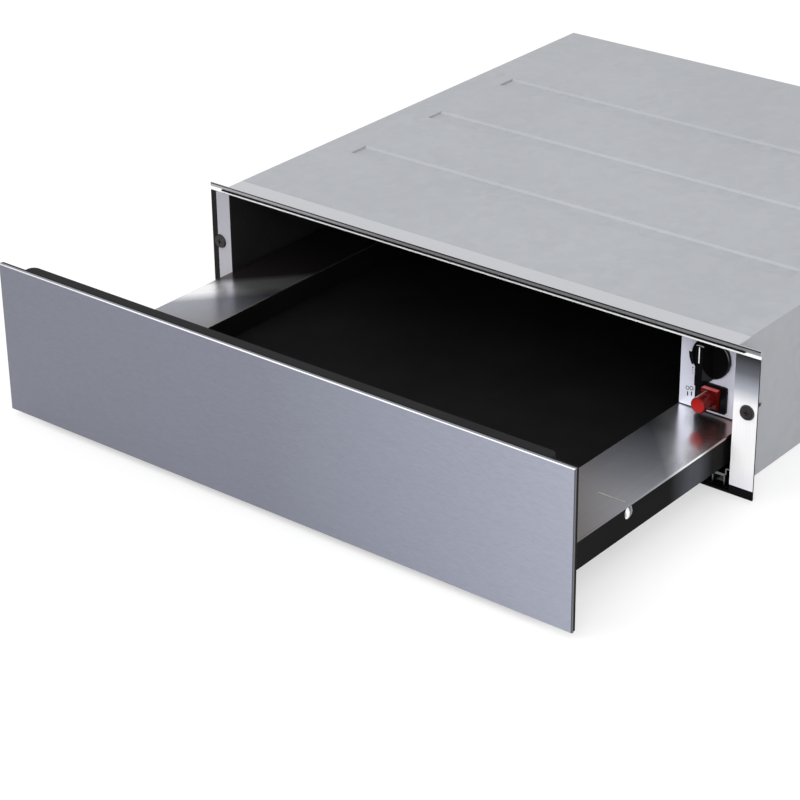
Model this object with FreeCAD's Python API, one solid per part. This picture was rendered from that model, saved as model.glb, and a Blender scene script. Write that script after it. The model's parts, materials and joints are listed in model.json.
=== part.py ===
import FreeCAD
import Part
import math
import os

# Built-in warming drawer for a 560 mm wide, 140 mm high kitchen niche, in millimetres.
# +X is right seen from the front, +Y goes into the cabinet, +Z is up.
# The origin lies in the middle of the width, on the cabinet's front plane, on the niche floor.
# The drawer stands open by REST_OPEN; it shuts towards +Y.

Vec = FreeCAD.Vector

# ---- drawer front -------------------------------------------------------------------------
FRONT_W = 595.0            # width of the steel front
FRONT_H = 138.0            # height of the steel front
FRONT_RAISE = 5.0          # front's lower edge above the niche floor
FRONT_OVER = 8.5           # front's top above the housing's
FRONT_LAP = 4.25           # front's sides past the frame's
PAN_DEPTH = 2.9            # depth of the folded steel pan
PAN_SHEET = 1.2            # its sheet
PAN_CHAMFER = 0.85         # bright bevel round its face
FILLER_CLEAR = 0.3         # damping board to the pan's rim
BACKING_T = 2.2            # black plate behind the pan
BACKING_INSET = 0.2        # its sides and top, in from the pan's edge
BACKING_RAISE = 0.5        # its lower edge above the pan's
INNER_FRONT_LAP = 1.0      # black inner front's sides past the cavity's walls
INNER_FRONT_DEPTH = 10.9
INNER_FRONT_DROP = 1.5     # its top below the front's top
INNER_FRONT_RAISE = 7.0    # its bottom above the front's bottom
INNER_FRONT_SHEET = 1.5
INNER_FRONT_ROUND = 6.5    # its upright rear corners

# ---- housing and frame --------------------------------------------------------------------
HOUSING_D = 545.0          # cabinet's front plane to the outside of the rear panel
SHEET = 1.0                # housing sheet
FLANGE_W = 22.25           # from the side wall's inside to the frame's edge
FRAME_T = 1.5              # flange plate
FLANGE_FOOT = 8.5          # black corner under each flange
SILL_H = 2.2               # black sill between the corners
SILL_DEPTH = 12.0
BAR_T = 2.4                # folded nose of the bar over the opening
BAR_ROUND = 0.9
BAR_DEPTH = 28.0
BAR_WEB = 1.4
SEAL_H = 1.6
SEAL_SHORT = 14.25         # seal's ends, in from the frame's edges
SEAL_PROUD = 1.4           # how far the lip stands in front of the frame
TRIM_H = 3.5               # trim over the seal
TRIM_DEPTH = 18.0
TRIM_T = 1.0
WALL_FLANGE = 12.0         # folded edges of the side walls
RIB_DEPTH = 2.0            # pressed stiffening ribs
RIB_W = 22.0
RIB_COUNT = 3
RIB_INSET = 32.0           # rib ends, in from the walls or the runners

# ---- screws through the flanges -----------------------------------------------------------
FLANGE_SCREW_IN = 13.0     # screw's axis, out from the side wall's inside
FLANGE_SCREW_DROP = 49.0   # screw's axis, down from the opening's top
FLANGE_SCREW_R = 1.95      # threaded shank
FLANGE_NECK_R = 2.2        # plain neck through the flange
FLANGE_SCREW_REACH = 20.0  # shank behind the flange
FLANGE_SCREW_POINT = 4.0   # pointed end of that
POINT_R = 0.3
CUP_R = 6.8
CUP_FACE_R = 6.0
CUP_H = 1.6
SCREW_HEAD_R = 4.7
CROSS_W = 1.1
CROSS_REACH = 2.6
CROSS_DEPTH = 1.0
HOLE_CLEAR = 0.2           # loose hole round any shank

# ---- drawer -------------------------------------------------------------------------------
REST_OPEN = 240.0          # how far the drawer stands open
SHUT_GAP = 3.0             # inner front to the flanges when shut
LEDGE_W = 64.3             # flat ledge each side of the well
LEDGE_T = 1.0
LEDGE_ROUND = 0.6
LEDGE_LIP = 2.0            # bright edge folded over the black side
TRAY_T = 1.0
TRAY_RAISE = 3.7           # tray's floor above the runners
TRAY_CORNER = 12.0
SIDE_GAP = 2.7             # drawer's lip to the housing wall
SIDE_T = 1.2
UPSTAND_UNDER = 6.4        # inner edge of the side's fold, below the ledge
REAR_T = 1.2
MAT_T = 2.0
MAT_CLEAR = 1.0
SEAM_Y = 101.5             # cross seam on each ledge and its stud, behind the inner front
SEAM_W = 0.8
SEAM_L = 24.0
SEAM_EDGE = 4.0            # seam's end to the side's outer face
STUD_HEAD_R = 5.5
STUD_HEAD_H = 2.0
STUD_R = 2.5
STUD_UNDER_LIP = 0.2
BRACKET_T = 1.2
BRACKET_UNDER = 4.6        # bracket's top below the ledge
BRACKET_FOOT = 26.0
BRACKET_PAST_STUD = 9.0
FRONT_SCREW_R = 1.9
FRONT_SCREW_HEAD_R = 3.6
FRONT_SCREW_HEAD_H = 2.0
FRONT_SCREW_L = 6.0
FRONT_SCREW_IN = 7.8       # outer screw, in from the drawer's side
FRONT_SCREW_PITCH = 11.7
STRIKER_W = 36.0
STRIKER_H = 16.0
STRIKER_T = 1.5

# ---- three-part runners -------------------------------------------------------------------
RAIL_IN = 39.0             # middle of each runner, in from the side wall
RAIL_HALF = 14.0           # half the width of the outer and inner channels
RAIL_T = 1.4
RAIL_BEND = 1.3
RAIL_CLEAR = 0.4           # sliding gap on every side
RAIL_LIP = 4.7             # hooks that hold the middle member
RAIL_LOW_H = 10.0          # height of the outer channel
RAIL_HIGH_H = 10.7         # height of the inner channel
RAIL_FREE = 2.6            # between the outer and the inner channel
RAIL_START = 4.0           # outer channel's front end, behind the cabinet's front plane
STOP_T = 3.0               # bent stop at the outer channel's rear end
MIDDLE_T = 1.2
WING_T = 1.2
WING_RISE = 10.8           # height of the folded wing beside the outer channel
WING_FOOT = 6.0
WING_TOP = 11.0
BRACE_RISE = 5.6
BRACE_DROP = 9.0
BRACE_START = 8.5          # brace's free edge beyond the outer channel

# ---- control panel ------------------------------------------------------------------------
PANEL_SET_BACK = 24.0      # panel's face behind the frame's face
PANEL_T = 1.2
PANEL_MARGIN = 2.9         # panel's lower edge below the switch
PANEL_OVER_LEDGE = 1.0     # running gap over the drawer's ledge
BOX_D = 67.0
BOX_T = 1.0
KNOB_IN = 35.7             # knob's axis, in from the side wall
KNOB_UNDER = 5.5           # knob's rim below the opening's top
KNOB_R = 18.1
KNOB_H = 3.5               # skirt height
KNOB_EDGE = 1.2            # rounding of the skirt's front edge
KNOB_GRIP_H = 17.0         # grip in front of the skirt
KNOB_GRIP_W = 7.0
KNOB_WALL = 1.2
KNOB_GAP = 0.8             # knob's rim to the panel
POINTER_W = 1.5
POINTER_L = 14.3
POINTER_IN = 1.0           # its end, in from the grip's end
POINTER_T = 0.4
SHAFT_R = 2.3
SHAFT_IN_GRIP = 9.0        # shaft's length in front of the skirt
SHAFT_END_GAP = 3.2        # shaft's end to the bottom of its bore
RUNNING = 0.06             # radial clearance of a turning shaft
HUB_R = 5.6
BUSH_R = 4.2
BUSH_L = 2.4
NUT_R = 6.4
NUT_T = 1.8
THERMOSTAT_R = 14.0
THERMOSTAT_L = 24.0
THERMOSTAT_REAR = 6.4      # solid rear of the thermostat
KNOB_TO_SWITCH = 5.1       # knob's rim to the switch's frame
SWITCH_IN = 34.7           # switch's axis, in from the side wall
BEZEL_W = 30.0
BEZEL_H = 24.0
BEZEL_D = 2.5
BEZEL_ROUND = 2.0
LENS_W = 18.3
LENS_H = 19.6
LENS_PROUD = 3.0
LENS_CHAMFER = 1.6
FIT_GAP = 0.15             # lens in its frame
BUTTON_R = 7.0
BUTTON_PROUD = 16.5        # button in front of the lens
BUTTON_GUIDE = 8.0         # length of the button behind the lens's face
BUTTON_CLEAR = 0.1
BUTTON_ROUND = 1.8
SWITCH_BODY_W = 20.0
SWITCH_BODY_H = 17.0
SWITCH_BODY_L = 22.0
TAB_W = 6.3                # push-on terminals
TAB_T = 0.8
TAB_L = 8.0
TAB_OUT = 6.3              # their middles, out from the axis

# ---- warm-air unit at the rear ------------------------------------------------------------
IMPELLER_R = 40.0
IMPELLER_W = 15.0
IMPELLER_GAP = 6.0         # impeller to the grille
BLADE_COUNT = 14
BLADE_T = 1.0
BLADE_R = 17.0             # curve of a blade
BLADE_DROP = 11.9          # middle of that curve, below the spoke it starts from
FAN_HUB_R = 9.0
FAN_SHAFT_R = 2.5
FAN_SHAFT_GAP = 0.4        # fan shaft's end to the bottom of its bore
MOTOR_GAP = 5.0            # motor to the impeller
MOTOR_R = 28.0
MOTOR_L = 21.0
MOTOR_PLATE_R = 34.0
MOTOR_PLATE_T = 2.0
MOTOR_BORE_L = 14.0
HEATER_GAP = 6.7           # heater rod to the impeller
HEATER_ROD_R = 3.3
HEATER_LEG_ANGLE = 16.0    # half the angle of the gap in the ring
HEATER_BEND_R = 7.0
HEATER_FLANGE_W = 34.0
HEATER_FLANGE_H = 12.0
HEATER_FLANGE_T = 2.0
GRILLE_SLOTS = 12
GRILLE_SLOT_IN = 14.0
GRILLE_SLOT_OUT = 36.0
GRILLE_SLOT_W = 5.0
OUTLET_IN = 121.0          # middle of the air outlets, in from the side walls
OUTLET_COUNT = 5
OUTLET_W = 70.0
OUTLET_H = 5.0
OUTLET_PITCH = 14.0
LOUVRE_IN = 141.0          # middle of the rear louvres, in from the side walls
LOUVRE_COUNT = 6
LOUVRE_W = 80.0
LOUVRE_H = 4.0
LOUVRE_PITCH = 12.0
TERMINAL_IN = 66.0         # terminal block and gland, in from the left side wall
TERMINAL_Z = 34.0
TERMINAL_W = 42.0
TERMINAL_D = 16.0
TERMINAL_H = 22.0
TERMINAL_WAYS = 3
TERMINAL_PORT_R = 3.0
GLAND_Z = 80.0
GLAND_BORE_R = 4.2
GLAND_R = 7.8
GLAND_NUT_R = 11.0
GLAND_NUT_T = 5.0
GLAND_OUT = 8.0
GLAND_ROUND = 2.8
COVER_SCREW_R = 1.9
COVER_SCREW_HEAD_R = 3.8
COVER_SCREW_HEAD_H = 2.2
COVER_SCREW_L = 7.0
COVER_SCREW_INSET = 7.0
COVER_SCREW_Z = 22.0       # from the floor and from the top

# ---- push-to-open latch -------------------------------------------------------------------
LATCH_W = 34.0
LATCH_H = 14.0
LATCH_D = 14.0
LATCH_ROUND = 2.0
PLUNGER_R = 4.0
PLUNGER_OUT = 6.5          # plunger's tip in front of the latch
PLUNGER_TRAVEL = 4.0
PLUNGER_CLEAR = 0.1
PLUNGER_GAP = 0.5          # plunger's tip to the striker when the drawer is shut
PLUNGER_GUIDE = 5.0
PLUNGER_ROUND = 1.4

# ---- places worked out from the sizes above ------------------------------------------------
HALF_FRONT = FRONT_W / 2
HALF_FRAME = HALF_FRONT - FRONT_LAP
HALF_CAVITY = HALF_FRAME - FLANGE_W
HALF_HOUSING = HALF_CAVITY + SHEET
FRONT_TOP = FRONT_RAISE + FRONT_H
HOUSING_H = FRONT_TOP - FRONT_OVER
COVER_UNDER = HOUSING_H - SHEET
OPENING_TOP = HOUSING_H - TRIM_H - SEAL_H - BAR_T
BAR_TOP = OPENING_TOP + BAR_T
FRAME_FACE = -FRAME_T
REAR_INSIDE = HOUSING_D - SHEET
MOTOR_FACE = REAR_INSIDE - MOTOR_L
IMPELLER_BACK = MOTOR_FACE - MOTOR_GAP
IMPELLER_FACE = IMPELLER_BACK - IMPELLER_W
GRILLE_Y = IMPELLER_FACE - IMPELLER_GAP - SHEET
LATCH_FACE = GRILLE_Y - LATCH_D
PLUNGER_TIP = LATCH_FACE - PLUNGER_OUT
SHUT_REAR = PLUNGER_TIP - PLUNGER_GAP - STRIKER_T

FLANGE_SCREW_X = HALF_CAVITY + FLANGE_SCREW_IN
FLANGE_SCREW_Z = OPENING_TOP - FLANGE_SCREW_DROP
PANEL_FACE = FRAME_FACE + PANEL_SET_BACK
PANEL_BACK = PANEL_FACE + PANEL_T
KNOB_X = HALF_CAVITY - KNOB_IN
KNOB_Z = OPENING_TOP - KNOB_UNDER - KNOB_R
KNOB_RIM = PANEL_FACE - KNOB_GAP
KNOB_FACE = KNOB_RIM - KNOB_H
GRIP_FACE = KNOB_FACE - KNOB_GRIP_H
SWITCH_X = HALF_CAVITY - SWITCH_IN
SWITCH_Z = KNOB_Z - KNOB_R - KNOB_TO_SWITCH - BEZEL_H / 2
BEZEL_FACE = PANEL_FACE - BEZEL_D
LENS_FACE = BEZEL_FACE - LENS_PROUD
PANEL_BOTTOM = SWITCH_Z - BEZEL_H / 2 - PANEL_MARGIN
LEDGE_TOP = PANEL_BOTTOM - PANEL_OVER_LEDGE
LEDGE_UNDER = LEDGE_TOP - LEDGE_T

INNER_BACK = FRAME_FACE - SHUT_GAP - REST_OPEN     # rear of the inner front as it stands open
INNER_FACE = INNER_BACK - INNER_FRONT_DEPTH
BACKING_FACE = INNER_FACE - BACKING_T
FRONT_FACE = BACKING_FACE - PAN_DEPTH
DRAWER_REAR = SHUT_REAR - REST_OPEN
LIP_X = HALF_CAVITY - SIDE_GAP
SIDE_X = LIP_X - LEDGE_T
HALF_WELL = LIP_X - LEDGE_W
HALF_TRAY = HALF_WELL + TRAY_T
SEAM_PLACE = INNER_BACK + SEAM_Y
STUD_Z = LEDGE_TOP - LEDGE_LIP - STUD_UNDER_LIP - STUD_HEAD_R
RAIL_X = HALF_CAVITY - RAIL_IN
RAIL_L = SHUT_REAR - RAIL_START
CHANNEL_TOP = SHEET + RAIL_LOW_H
INNER_RAIL_BOTTOM = CHANNEL_TOP + RAIL_FREE
SIDE_BOTTOM = INNER_RAIL_BOTTOM + RAIL_HIGH_H
TRAY_FLOOR = SIDE_BOTTOM + TRAY_RAISE
BRACKET_LOW = SIDE_BOTTOM + 2 * SIDE_T
BRACKET_TOP = LEDGE_UNDER - BRACKET_UNDER
LATCH_Z = (SIDE_BOTTOM + LEDGE_UNDER) / 2
FAN_Z = (SHEET + COVER_UNDER) / 2
HEATER_RING_R = IMPELLER_R + HEATER_GAP + HEATER_ROD_R
OUTLET_X = HALF_CAVITY - OUTLET_IN
LOUVRE_X = HALF_CAVITY - LOUVRE_IN
TERMINAL_X = TERMINAL_IN - HALF_CAVITY


# ---- shapes used all over -----------------------------------------------------------------
def block(x0, x1, y0, y1, z0, z1):
    return Part.makeBox(x1 - x0, y1 - y0, z1 - z0, Vec(x0, y0, z0))


def rod_y(x, z, radius, y0, y1):
    return Part.makeCylinder(radius, y1 - y0, Vec(x, y0, z), Vec(0, 1, 0))


def rod_x(y, z, radius, x0, x1):
    return Part.makeCylinder(radius, x1 - x0, Vec(x0, y, z), Vec(1, 0, 0))


def cone_y(x, z, r0, r1, y0, y1):
    return Part.makeCone(r0, r1, y1 - y0, Vec(x, y0, z), Vec(0, 1, 0))


def prism(points, direction):
    wire = Part.makePolygon(points + [points[0]])
    return Part.Face(wire).extrude(direction)


def section_along_x(points, x0, x1):
    return prism([Vec(x0, y, z) for y, z in points], Vec(x1 - x0, 0, 0))


def mirrored(shape):
    return shape.mirror(Vec(0, 0, 0), Vec(1, 0, 0))


def joined(shapes):
    first, rest = shapes[0], shapes[1:]
    if not rest:
        return first
    return first.multiFuse(rest).removeSplitter()


def less(shape, tools):
    return shape.cut(Part.makeCompound(tools)).removeSplitter()


def edges_along(shape, axis, keep):
    found = []
    for edge in shape.Edges:
        if len(edge.Vertexes) != 2:
            continue
        run = edge.Vertexes[1].Point - edge.Vertexes[0].Point
        if abs(abs(run.normalize().dot(axis)) - 1) < 1e-6 and keep(edge.CenterOfMass):
            found.append(edge)
    return found


# ---- folded sheet: a section that follows its bends ------------------------------------------
def bend_arc(before, corner, after, radius, offset):
    """The two ends and the middle of one bend, seen at an offset from the sheet's middle."""
    a = (corner - before).normalize()
    b = (after - corner).normalize()
    turn = a.x * b.y - a.y * b.x
    half = math.acos(max(-1.0, min(1.0, a.dot(b)))) / 2
    reach = radius * math.tan(half)
    sign = 1.0 if turn > 0 else -1.0
    normal_a = Vec(-a.y, a.x, 0)
    normal_b = Vec(-b.y, b.x, 0)
    centre = corner - a * reach + normal_a * (radius * sign)
    spoke = radius * sign - offset
    middle = (normal_a + normal_b).normalize()
    return [centre - normal_a * spoke, centre - middle * spoke, centre - normal_b * spoke]


def offset_edges(path, radius, offset, closed):
    count = len(path)
    stops = []
    for index in range(count):
        before = path[index - 1]
        after = path[(index + 1) % count]
        here = path[index]
        if closed or 0 < index < count - 1:
            stops.append(bend_arc(before, here, after, radius, offset))
        else:
            run = (after - here) if index == 0 else (here - before)
            run.normalize()
            stops.append([here + Vec(-run.y, run.x, 0) * offset])
    edges = []
    for index, stop in enumerate(stops):
        if len(stop) == 3:
            edges.append(Part.Arc(stop[0], stop[1], stop[2]).toShape())
        last = index == count - 1
        if closed or not last:
            edges.append(Part.makeLine(stop[-1], stops[(index + 1) % count][0]))
    return edges, stops[0][0], stops[-1][-1]


def folded(points, sheet, radius, y0, y1, closed=False):
    """Sheet bent along points in X and Z, and run from y0 to y1."""
    path = [Vec(x, z, 0) for x, z in points]
    left, left_start, left_end = offset_edges(path, radius, sheet / 2, closed)
    right, right_start, right_end = offset_edges(path, radius, -sheet / 2, closed)
    if closed:
        wires = [Part.Wire(Part.__sortEdges__(side)) for side in (left, right)]
        faces = sorted((Part.Face(wire) for wire in wires), key=lambda face: face.Area)
        face = faces[1].cut(faces[0])
    else:
        caps = [Part.makeLine(left_start, right_start), Part.makeLine(left_end, right_end)]
        face = Part.Face(Part.Wire(Part.__sortEdges__(left + right + caps)))
    face.rotate(Vec(0, 0, 0), Vec(1, 0, 0), 90)
    solid = face.extrude(Vec(0, 1, 0) * (y1 - y0))
    solid.translate(Vec(0, y0, 0))
    return solid


# ---- drawer front -------------------------------------------------------------------------
def front_panel():
    half = HALF_FRONT
    pan = block(-half, half, FRONT_FACE, BACKING_FACE, FRONT_RAISE, FRONT_TOP)
    face_edges = [e for e in pan.Edges if abs(e.CenterOfMass.y - FRONT_FACE) < 1e-6]
    pan = pan.makeChamfer(PAN_CHAMFER, face_edges)
    inside = half - PAN_SHEET
    pocket = block(-inside, inside, FRONT_FACE + PAN_SHEET, BACKING_FACE,
                   FRONT_RAISE + PAN_SHEET, FRONT_TOP - PAN_SHEET)
    return pan.cut(pocket)


def front_filler():
    inset = PAN_SHEET + FILLER_CLEAR
    half = HALF_FRONT - inset
    return block(-half, half, FRONT_FACE + PAN_SHEET, BACKING_FACE,
                 FRONT_RAISE + inset, FRONT_TOP - inset)


def front_backing():
    half = HALF_FRONT - BACKING_INSET
    return block(-half, half, BACKING_FACE, INNER_FACE,
                 FRONT_RAISE + BACKING_RAISE, FRONT_TOP - BACKING_INSET)


def rounded_pan(half, y0, y1, z0, z1, radius):
    body = block(-half, half, y0, y1, z0, z1)
    uprights = edges_along(body, Vec(0, 0, 1), lambda c: abs(c.y - y1) < 1e-6)
    return body.makeFillet(radius, uprights)


def inner_front():
    half = HALF_CAVITY + INNER_FRONT_LAP
    z0 = FRONT_RAISE + INNER_FRONT_RAISE
    z1 = FRONT_TOP - INNER_FRONT_DROP
    t = INNER_FRONT_SHEET
    shell = rounded_pan(half, INNER_FACE, INNER_BACK, z0, z1, INNER_FRONT_ROUND)
    room = rounded_pan(half - t, INNER_FACE, INNER_BACK - t, z0 + t, z1 - t, INNER_FRONT_ROUND - t)
    return less(shell, [room] + front_screw_rods(FRONT_SCREW_R + HOLE_CLEAR, INNER_FACE, INNER_BACK))


# ---- drawer box ---------------------------------------------------------------------------
def drawer_tray():
    outer = HALF_TRAY
    rear = DRAWER_REAR - REAR_T
    body = block(-outer, outer, INNER_BACK, rear, TRAY_FLOOR, LEDGE_UNDER)
    body = body.makeFillet(TRAY_CORNER, edges_along(body, Vec(0, 0, 1), lambda c: True))
    room = block(-HALF_WELL, HALF_WELL, INNER_BACK + TRAY_T, rear - TRAY_T,
                 TRAY_FLOOR + TRAY_T, LEDGE_UNDER)
    room = room.makeFillet(TRAY_CORNER - TRAY_T, edges_along(room, Vec(0, 0, 1), lambda c: True))
    return body.cut(room)


def floor_mat():
    half = HALF_WELL - MAT_CLEAR
    floor = TRAY_FLOOR + TRAY_T
    mat = block(-half, half, INNER_BACK + TRAY_T + MAT_CLEAR,
                DRAWER_REAR - REAR_T - TRAY_T - MAT_CLEAR, floor, floor + MAT_T)
    corners = edges_along(mat, Vec(0, 0, 1), lambda c: True)
    return mat.makeFillet(TRAY_CORNER - TRAY_T, corners)


def right_ledge():
    top = block(HALF_WELL, LIP_X, INNER_BACK, DRAWER_REAR, LEDGE_UNDER, LEDGE_TOP)
    lip = block(SIDE_X, LIP_X, INNER_BACK, DRAWER_REAR, LEDGE_TOP - LEDGE_LIP, LEDGE_UNDER)
    ledge = joined([top, lip])
    crest = edges_along(ledge, Vec(0, 1, 0),
                        lambda c: c.x > LIP_X - 1e-6 and c.z > LEDGE_TOP - 1e-6)
    ledge = ledge.makeFillet(LEDGE_ROUND, crest)
    end = SIDE_X - SEAM_EDGE
    seam = block(end - SEAM_L, end, SEAM_PLACE - SEAM_W / 2, SEAM_PLACE + SEAM_W / 2,
                 LEDGE_UNDER, LEDGE_TOP)
    return ledge.cut(seam)


def right_side():
    outer = SIDE_X - SIDE_T / 2
    inner = HALF_TRAY + SIDE_T / 2
    low = SIDE_BOTTOM + SIDE_T / 2
    path = [(outer, LEDGE_UNDER), (outer, low), (inner, low), (inner, LEDGE_UNDER - UPSTAND_UNDER)]
    side = folded(path, SIDE_T, SIDE_T, INNER_BACK, DRAWER_REAR - REAR_T)
    hole = rod_x(SEAM_PLACE, STUD_Z, STUD_R + HOLE_CLEAR, SIDE_X - 2 * SIDE_T, SIDE_X + SIDE_T)
    return side.cut(hole)


def drawer_rear_wall():
    return block(-SIDE_X, SIDE_X, DRAWER_REAR - REAR_T, DRAWER_REAR, SIDE_BOTTOM, LEDGE_UNDER)


def side_stud():
    shank = rod_x(SEAM_PLACE, STUD_Z, STUD_R, SIDE_X - SIDE_T - 2 * BRACKET_T, SIDE_X)
    # The head is a cap of a ball that is as wide as the head where it meets the side.
    ball_r = (STUD_HEAD_R ** 2 + STUD_HEAD_H ** 2) / (2 * STUD_HEAD_H)
    centre = Vec(SIDE_X + STUD_HEAD_H - ball_r, SEAM_PLACE, STUD_Z)
    reach = block(SIDE_X, SIDE_X + STUD_HEAD_H + 1, SEAM_PLACE - STUD_HEAD_R - 1,
                  SEAM_PLACE + STUD_HEAD_R + 1, STUD_Z - STUD_HEAD_R - 1, STUD_Z + STUD_HEAD_R + 1)
    return joined([Part.makeSphere(ball_r, centre).common(reach), shank])


def front_screw_rods(radius, y0, y1):
    middle = (BRACKET_LOW + BRACKET_TOP) / 2
    outer = SIDE_X - SIDE_T - FRONT_SCREW_IN
    rods = []
    for x in (outer, outer - FRONT_SCREW_PITCH):
        rods += [rod_y(side * x, middle, radius, y0, y1) for side in (-1, 1)]
    return rods


def right_front_bracket():
    outer = SIDE_X - SIDE_T
    arm = block(outer - BRACKET_T, outer, INNER_BACK, SEAM_PLACE + BRACKET_PAST_STUD,
                BRACKET_LOW, BRACKET_TOP)
    foot = block(outer - BRACKET_FOOT, outer, INNER_BACK, INNER_BACK + BRACKET_T,
                 BRACKET_LOW, BRACKET_TOP)
    holes = front_screw_rods(FRONT_SCREW_R + HOLE_CLEAR, INNER_BACK, INNER_BACK + BRACKET_T)
    holes.append(rod_x(SEAM_PLACE, STUD_Z, STUD_R + HOLE_CLEAR, outer - 2 * BRACKET_T, outer))
    return less(joined([arm, foot]), holes)


def front_screws():
    seat = INNER_BACK + BRACKET_T
    shanks = front_screw_rods(FRONT_SCREW_R, seat - FRONT_SCREW_L, seat)
    heads = front_screw_rods(FRONT_SCREW_HEAD_R, seat, seat + FRONT_SCREW_HEAD_H)
    return [joined([shank, head]) for shank, head in zip(shanks, heads)]


def latch_striker():
    return block(-STRIKER_W / 2, STRIKER_W / 2, DRAWER_REAR, DRAWER_REAR + STRIKER_T,
                 LATCH_Z - STRIKER_H / 2, LATCH_Z + STRIKER_H / 2)


# ---- runners: a fixed channel, a middle member and a channel under the drawer ---------------
def hooked_channel(floor, rim, y0, y1):
    """Channel whose web lies at floor and whose hooks end at rim, above or below the web."""
    way = 1.0 if rim > floor else -1.0
    web = floor + way * RAIL_T / 2
    hook = rim - way * RAIL_T / 2
    side = RAIL_HALF - RAIL_T / 2
    path = [(RAIL_X - side + RAIL_LIP, hook), (RAIL_X - side, hook), (RAIL_X - side, web),
            (RAIL_X + side, web), (RAIL_X + side, hook), (RAIL_X + side - RAIL_LIP, hook)]
    return folded(path, RAIL_T, RAIL_BEND, y0, y1)


def right_outer_rail():
    end = RAIL_START + RAIL_L
    channel = hooked_channel(SHEET, CHANNEL_TOP, RAIL_START, end + STOP_T)
    stop = block(RAIL_X - RAIL_HALF + RAIL_T, RAIL_X + RAIL_HALF - RAIL_T, end + RAIL_CLEAR,
                 end + STOP_T, SHEET + RAIL_T / 2, CHANNEL_TOP - RAIL_T)
    edge = RAIL_X + RAIL_HALF
    low = SHEET + WING_T / 2
    high = low + WING_RISE - WING_T
    inner = edge + WING_FOOT
    outer = inner + WING_TOP
    wing = folded([(edge - RAIL_T / 2, low), (inner, low), (inner, high), (outer, high),
                   (outer, low), (outer + WING_FOOT / 2, low)], WING_T, WING_T, RAIL_START, end)
    return joined([channel, stop, wing])


def right_rail_brace():
    low = SHEET + WING_RISE + WING_T / 2
    start = RAIL_X + RAIL_HALF + BRACE_START
    turn = RAIL_X + RAIL_HALF + WING_FOOT + WING_TOP + WING_T
    wall = HALF_CAVITY - WING_T / 2
    path = [(start, low), (turn, low), (turn, low + BRACE_RISE), (wall, low + BRACE_RISE),
            (wall, low + BRACE_RISE - BRACE_DROP)]
    return folded(path, WING_T, WING_T, RAIL_START, RAIL_START + RAIL_L)


def right_middle_rail():
    start = RAIL_START - REST_OPEN / 2
    wide = RAIL_HALF - RAIL_T - RAIL_CLEAR - MIDDLE_T / 2
    neck = RAIL_HALF - RAIL_T / 2 - RAIL_LIP - RAIL_CLEAR - MIDDLE_T / 2
    gap = RAIL_CLEAR + MIDDLE_T / 2
    z0 = SHEET + RAIL_T + gap
    z1 = CHANNEL_TOP - RAIL_T - gap
    z2 = INNER_RAIL_BOTTOM + RAIL_T + gap
    z3 = SIDE_BOTTOM - RAIL_T - gap
    half = [(wide, z0), (wide, z1), (neck, z1), (neck, z2), (wide, z2), (wide, z3)]
    path = [(RAIL_X + x, z) for x, z in half] + [(RAIL_X - x, z) for x, z in reversed(half)]
    return folded(path, MIDDLE_T, MIDDLE_T, start, start + RAIL_L, closed=True)


def right_inner_rail():
    start = RAIL_START - REST_OPEN
    return hooked_channel(SIDE_BOTTOM, INNER_RAIL_BOTTOM, start, start + RAIL_L)


# ---- housing ------------------------------------------------------------------------------
def rib_places():
    room = GRILLE_Y - BAR_DEPTH
    return [BAR_DEPTH + room * (index + 1) / (RIB_COUNT + 1) for index in range(RIB_COUNT)]


def rib_section(place, foot, step):
    """A rib's section, from its foot on the sheet to its flat top a step higher or lower."""
    low = place - RIB_W / 2
    high = place + RIB_W / 2
    slope = abs(step)
    return [(low, foot), (high, foot), (high - slope, foot + step), (low + slope, foot + step)]


def ribbed_sheet(y0, outside, step, reach):
    """Housing sheet whose ribs are pressed inwards by step, and run to reach on both sides."""
    way = math.copysign(1.0, step)
    inside = outside + way * SHEET
    sheet = block(-HALF_HOUSING, HALF_HOUSING, y0, REAR_INSIDE, min(outside, inside), max(outside, inside))
    for place in rib_places():
        sheet = joined([sheet, section_along_x(rib_section(place, inside, step), -reach, reach)])
        dent = section_along_x(rib_section(place, outside, step), SHEET - reach, reach - SHEET)
        sheet = sheet.cut(dent)
    return sheet


def housing_base():
    return ribbed_sheet(SILL_DEPTH, 0, RIB_DEPTH, RAIL_X - RAIL_HALF - RIB_INSET)


def front_sill():
    sill = block(-HALF_FRAME, HALF_FRAME, FRAME_FACE, 0, 0, SILL_H)
    tongue = block(-HALF_HOUSING, HALF_HOUSING, 0, SILL_DEPTH, 0, SHEET)
    corners = [block(HALF_CAVITY, HALF_FRAME, FRAME_FACE, 0, 0, FLANGE_FOOT),
               block(-HALF_FRAME, -HALF_CAVITY, FRAME_FACE, 0, 0, FLANGE_FOOT)]
    return joined([sill, tongue] + corners)


def right_wall():
    wall = block(HALF_CAVITY, HALF_HOUSING, 0, REAR_INSIDE, SHEET, COVER_UNDER)
    edge = HALF_CAVITY - WALL_FLANGE
    top = block(edge, HALF_CAVITY, BAR_DEPTH, GRILLE_Y, COVER_UNDER - SHEET, COVER_UNDER)
    rear = block(edge, HALF_CAVITY, REAR_INSIDE - SHEET, REAR_INSIDE, SHEET, COVER_UNDER)
    holes = cover_screw_rods(COVER_SCREW_R + HOLE_CLEAR, REAR_INSIDE - SHEET, REAR_INSIDE)
    return less(joined([wall, top, rear]), holes)


def right_flange():
    plate = block(HALF_CAVITY, HALF_FRAME, FRAME_FACE, 0, FLANGE_FOOT, OPENING_TOP)
    hole = rod_y(FLANGE_SCREW_X, FLANGE_SCREW_Z, FLANGE_NECK_R + HOLE_CLEAR, FRAME_FACE, 0)
    return plate.cut(hole)


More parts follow.
